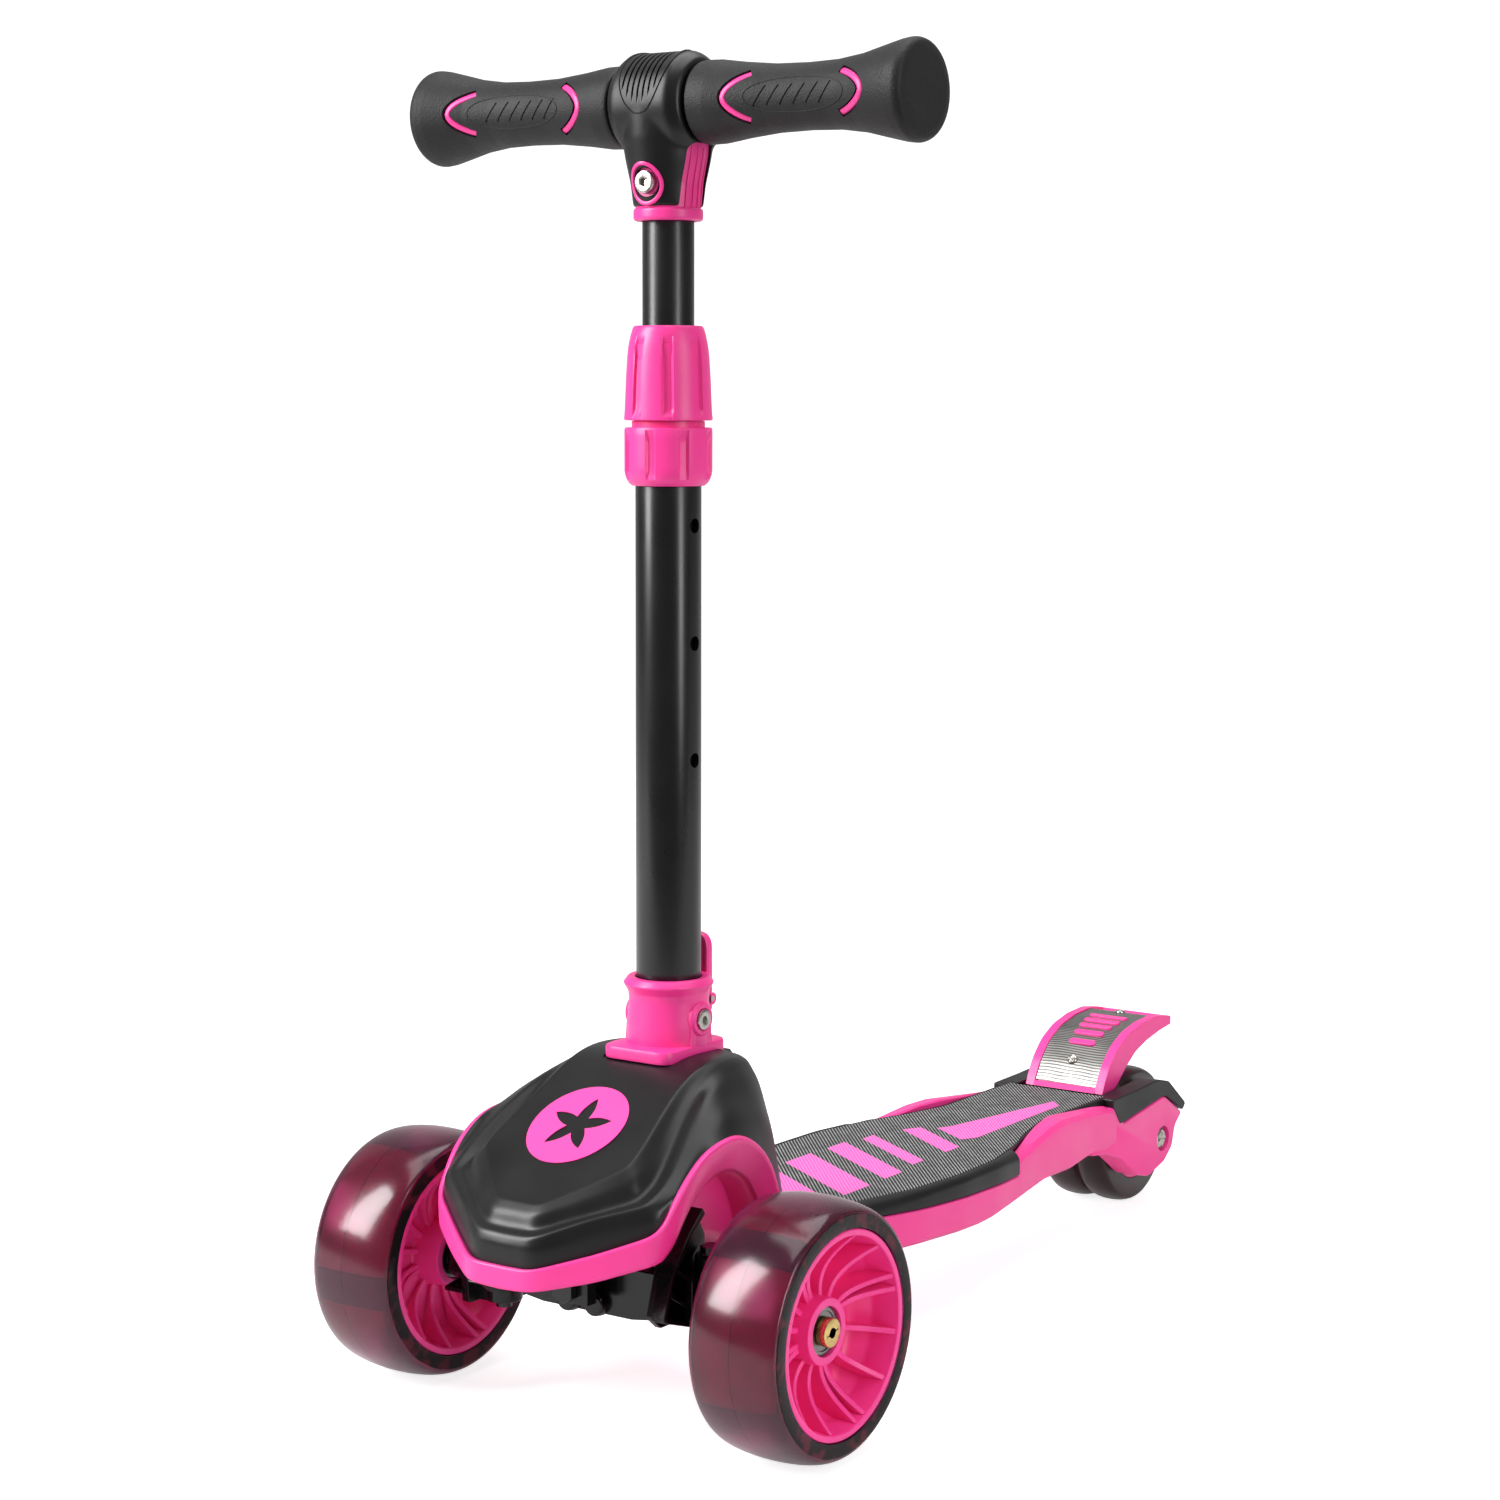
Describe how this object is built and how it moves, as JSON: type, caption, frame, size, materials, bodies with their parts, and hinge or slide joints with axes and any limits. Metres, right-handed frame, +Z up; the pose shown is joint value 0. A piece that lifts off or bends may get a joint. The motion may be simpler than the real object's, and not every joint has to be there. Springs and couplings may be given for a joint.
{
  "type": "kick scooter",
  "caption": "Three-wheeled lean-to-steer kick scooter for a young child, with a telescoping T handlebar, folding stem, wide translucent front wheels and a rear foot brake.",
  "frame": {"origin": "on the ground, under the middle of the scooter's length and width", "axes": "+Z up, +X to the rider's left, -Y the way the scooter rolls"},
  "size_m": [0.28, 0.6036, 0.632],
  "materials": {
    "pink_plastic": "satin injection-moulded hot pink",
    "black_plastic": "fine satin moulded black",
    "grip_rubber": "matt, pinstriped",
    "handle_rubber": "matt, fine leather-like grain",
    "smoke_tyre": "glossy smoke-plum polyurethane",
    "black_metal": "semi-gloss black coat",
    "gold_bolt": "yellow zinc plate",
    "bright_steel": "nickel plate",
    "swirled_steel": "swirl-ground",
    "light_ring": "clear core with light strips"
  },
  "bodies": {
    "chassis": {"deck_shell": "pink_plastic", "deck_tray": "black_plastic", "grip_mat": "grip_rubber", "hood_cover": "black_plastic", "hood_trim": "pink_plastic", "fold_base": "black_metal", "fold_pin": "bright_steel", "rear_axle_bolt": "bright_steel", "rear_axle_nut": "bright_steel", "rear_wheel_spacer": "bright_steel", "brake_pin": "bright_steel", "brake_spring": "bright_steel", "lean_bolt": "bright_steel", "lean_spring_left": "grip_rubber", "lean_spring_right": "grip_rubber"},
    "truck": {"truck_beam": "black_plastic", "kingpin_left": "bright_steel", "kingpin_right": "bright_steel"},
    "tie_rod": {"tie_rod": "black_metal"},
    "knuckle_left": {"knuckle_left": "black_plastic", "front_axle_bolt_left": "gold_bolt"},
    "knuckle_right": {"knuckle_right": "black_plastic", "front_axle_bolt_right": "gold_bolt"},
    "front_wheel_left": {"front_tyre_left": "smoke_tyre", "light_ring_left": "light_ring", "front_hub_left": "pink_plastic", "front_outer_bearing_left": "bright_steel", "front_inner_bearing_left": "bright_steel"},
    "front_wheel_right": {"front_tyre_right": "smoke_tyre", "light_ring_right": "light_ring", "front_hub_right": "pink_plastic", "front_outer_bearing_right": "bright_steel", "front_inner_bearing_right": "bright_steel"},
    "rear_wheel_left": {"rear_tyre_left": "smoke_tyre", "rear_hub_left": "pink_plastic", "rear_bearing_left": "bright_steel"},
    "rear_wheel_right": {"rear_tyre_right": "smoke_tyre", "rear_hub_right": "pink_plastic", "rear_bearing_right": "bright_steel"},
    "stem": {"column_foot": "pink_plastic", "lower_tube": "black_metal", "collar_ring": "pink_plastic", "foot_bolt": "bright_steel", "fold_lever_pin": "bright_steel"},
    "fold_lever": {"fold_lever": "pink_plastic"},
    "clamp_nut": {"clamp_nut": "pink_plastic"},
    "bar": {"upper_tube": "black_metal", "bar_head": "black_plastic", "head_ring": "pink_plastic", "head_bolt": "bright_steel", "cross_tube": "black_metal", "grip_core_left": "pink_plastic", "grip_core_right": "pink_plastic", "grip_left": "handle_rubber", "grip_right": "handle_rubber"},
    "snap_button": {"snap_button": "bright_steel"},
    "brake": {"brake_fender": "pink_plastic", "brake_plate": "swirled_steel", "brake_screw_lower": "bright_steel", "brake_screw_upper": "bright_steel"}
  },
  "joints": [
    {"name": "truck_lean", "type": "hinge", "parent": "chassis", "child": "truck", "pos_m": [0, -0.22485, 0.066], "axis": [0, 1, 0], "range_deg": [-8, 8], "stiffness_Nm_per_rad": 25, "deforming": ["lean_spring_left", "lean_spring_right"]},
    {"name": "steer_left", "type": "hinge", "parent": "truck", "child": "knuckle_left", "pos_m": [0.062, -0.22485, 0.06], "axis": [0, 0, 1], "range_deg": [-12, 12]},
    {"name": "steer_right", "type": "hinge", "parent": "truck", "child": "knuckle_right", "pos_m": [-0.062, -0.22485, 0.06], "axis": [0, 0, 1], "range_deg": [-12, 12]},
    {"name": "tie_rod_shift", "type": "slide", "parent": "truck", "child": "tie_rod", "axis": [1, 0, 0], "range_m": [-0.0068, 0.0068]},
    {"name": "front_wheel_left_spin", "type": "hinge", "parent": "knuckle_left", "child": "front_wheel_left", "pos_m": [0.1108, -0.22485, 0.06], "axis": [1, 0, 0], "continuous": true},
    {"name": "front_wheel_right_spin", "type": "hinge", "parent": "knuckle_right", "child": "front_wheel_right", "pos_m": [-0.1108, -0.22485, 0.06], "axis": [1, 0, 0], "continuous": true},
    {"name": "rear_wheel_left_spin", "type": "hinge", "parent": "chassis", "child": "rear_wheel_left", "pos_m": [0.0112, 0.26185, 0.04], "axis": [1, 0, 0], "continuous": true},
    {"name": "rear_wheel_right_spin", "type": "hinge", "parent": "chassis", "child": "rear_wheel_right", "pos_m": [-0.0112, 0.26185, 0.04], "axis": [1, 0, 0], "continuous": true},
    {"name": "stem_fold", "type": "hinge", "parent": "chassis", "child": "stem", "pos_m": [0, -0.14985, 0.158], "axis": [-1, 0, 0], "range_deg": [0, 90]},
    {"name": "fold_lever_pull", "type": "hinge", "parent": "stem", "child": "fold_lever", "pos_m": [0, -0.15085, 0.186], "axis": [-1, 0, 0], "range_deg": [0, 10], "stiffness_Nm_per_rad": 0.5, "springref_deg": -11.46},
    {"name": "clamp_twist", "type": "hinge", "parent": "stem", "child": "clamp_nut", "pos_m": [0, -0.17565, 0.485], "axis": [0, 0, 1], "range_deg": [0, 180]},
    {"name": "bar_height", "type": "slide", "parent": "stem", "child": "bar", "axis": [0, 0, 1], "range_m": [0, 0.165]},
    {"name": "snap_button_press", "type": "slide", "parent": "bar", "child": "snap_button", "axis": [1, 0, 0], "range_m": [-0.0025, 0], "stiffness_N_per_m": 600, "springref_m": 0.001},
    {"name": "brake_press", "type": "hinge", "parent": "chassis", "child": "brake", "pos_m": [0, 0.21515, 0.07], "axis": [-1, 0, 0], "range_deg": [0, 15], "stiffness_Nm_per_rad": 1.2, "springref_deg": -8.59}
  ],
  "couplings": [
    {"joint": "steer_left", "follows": "truck_lean", "ratio": -1.5},
    {"joint": "steer_right", "follows": "truck_lean", "ratio": -1.5},
    {"joint": "tie_rod_shift", "follows": "truck_lean", "m_per_rad": 0.048}
  ]
}
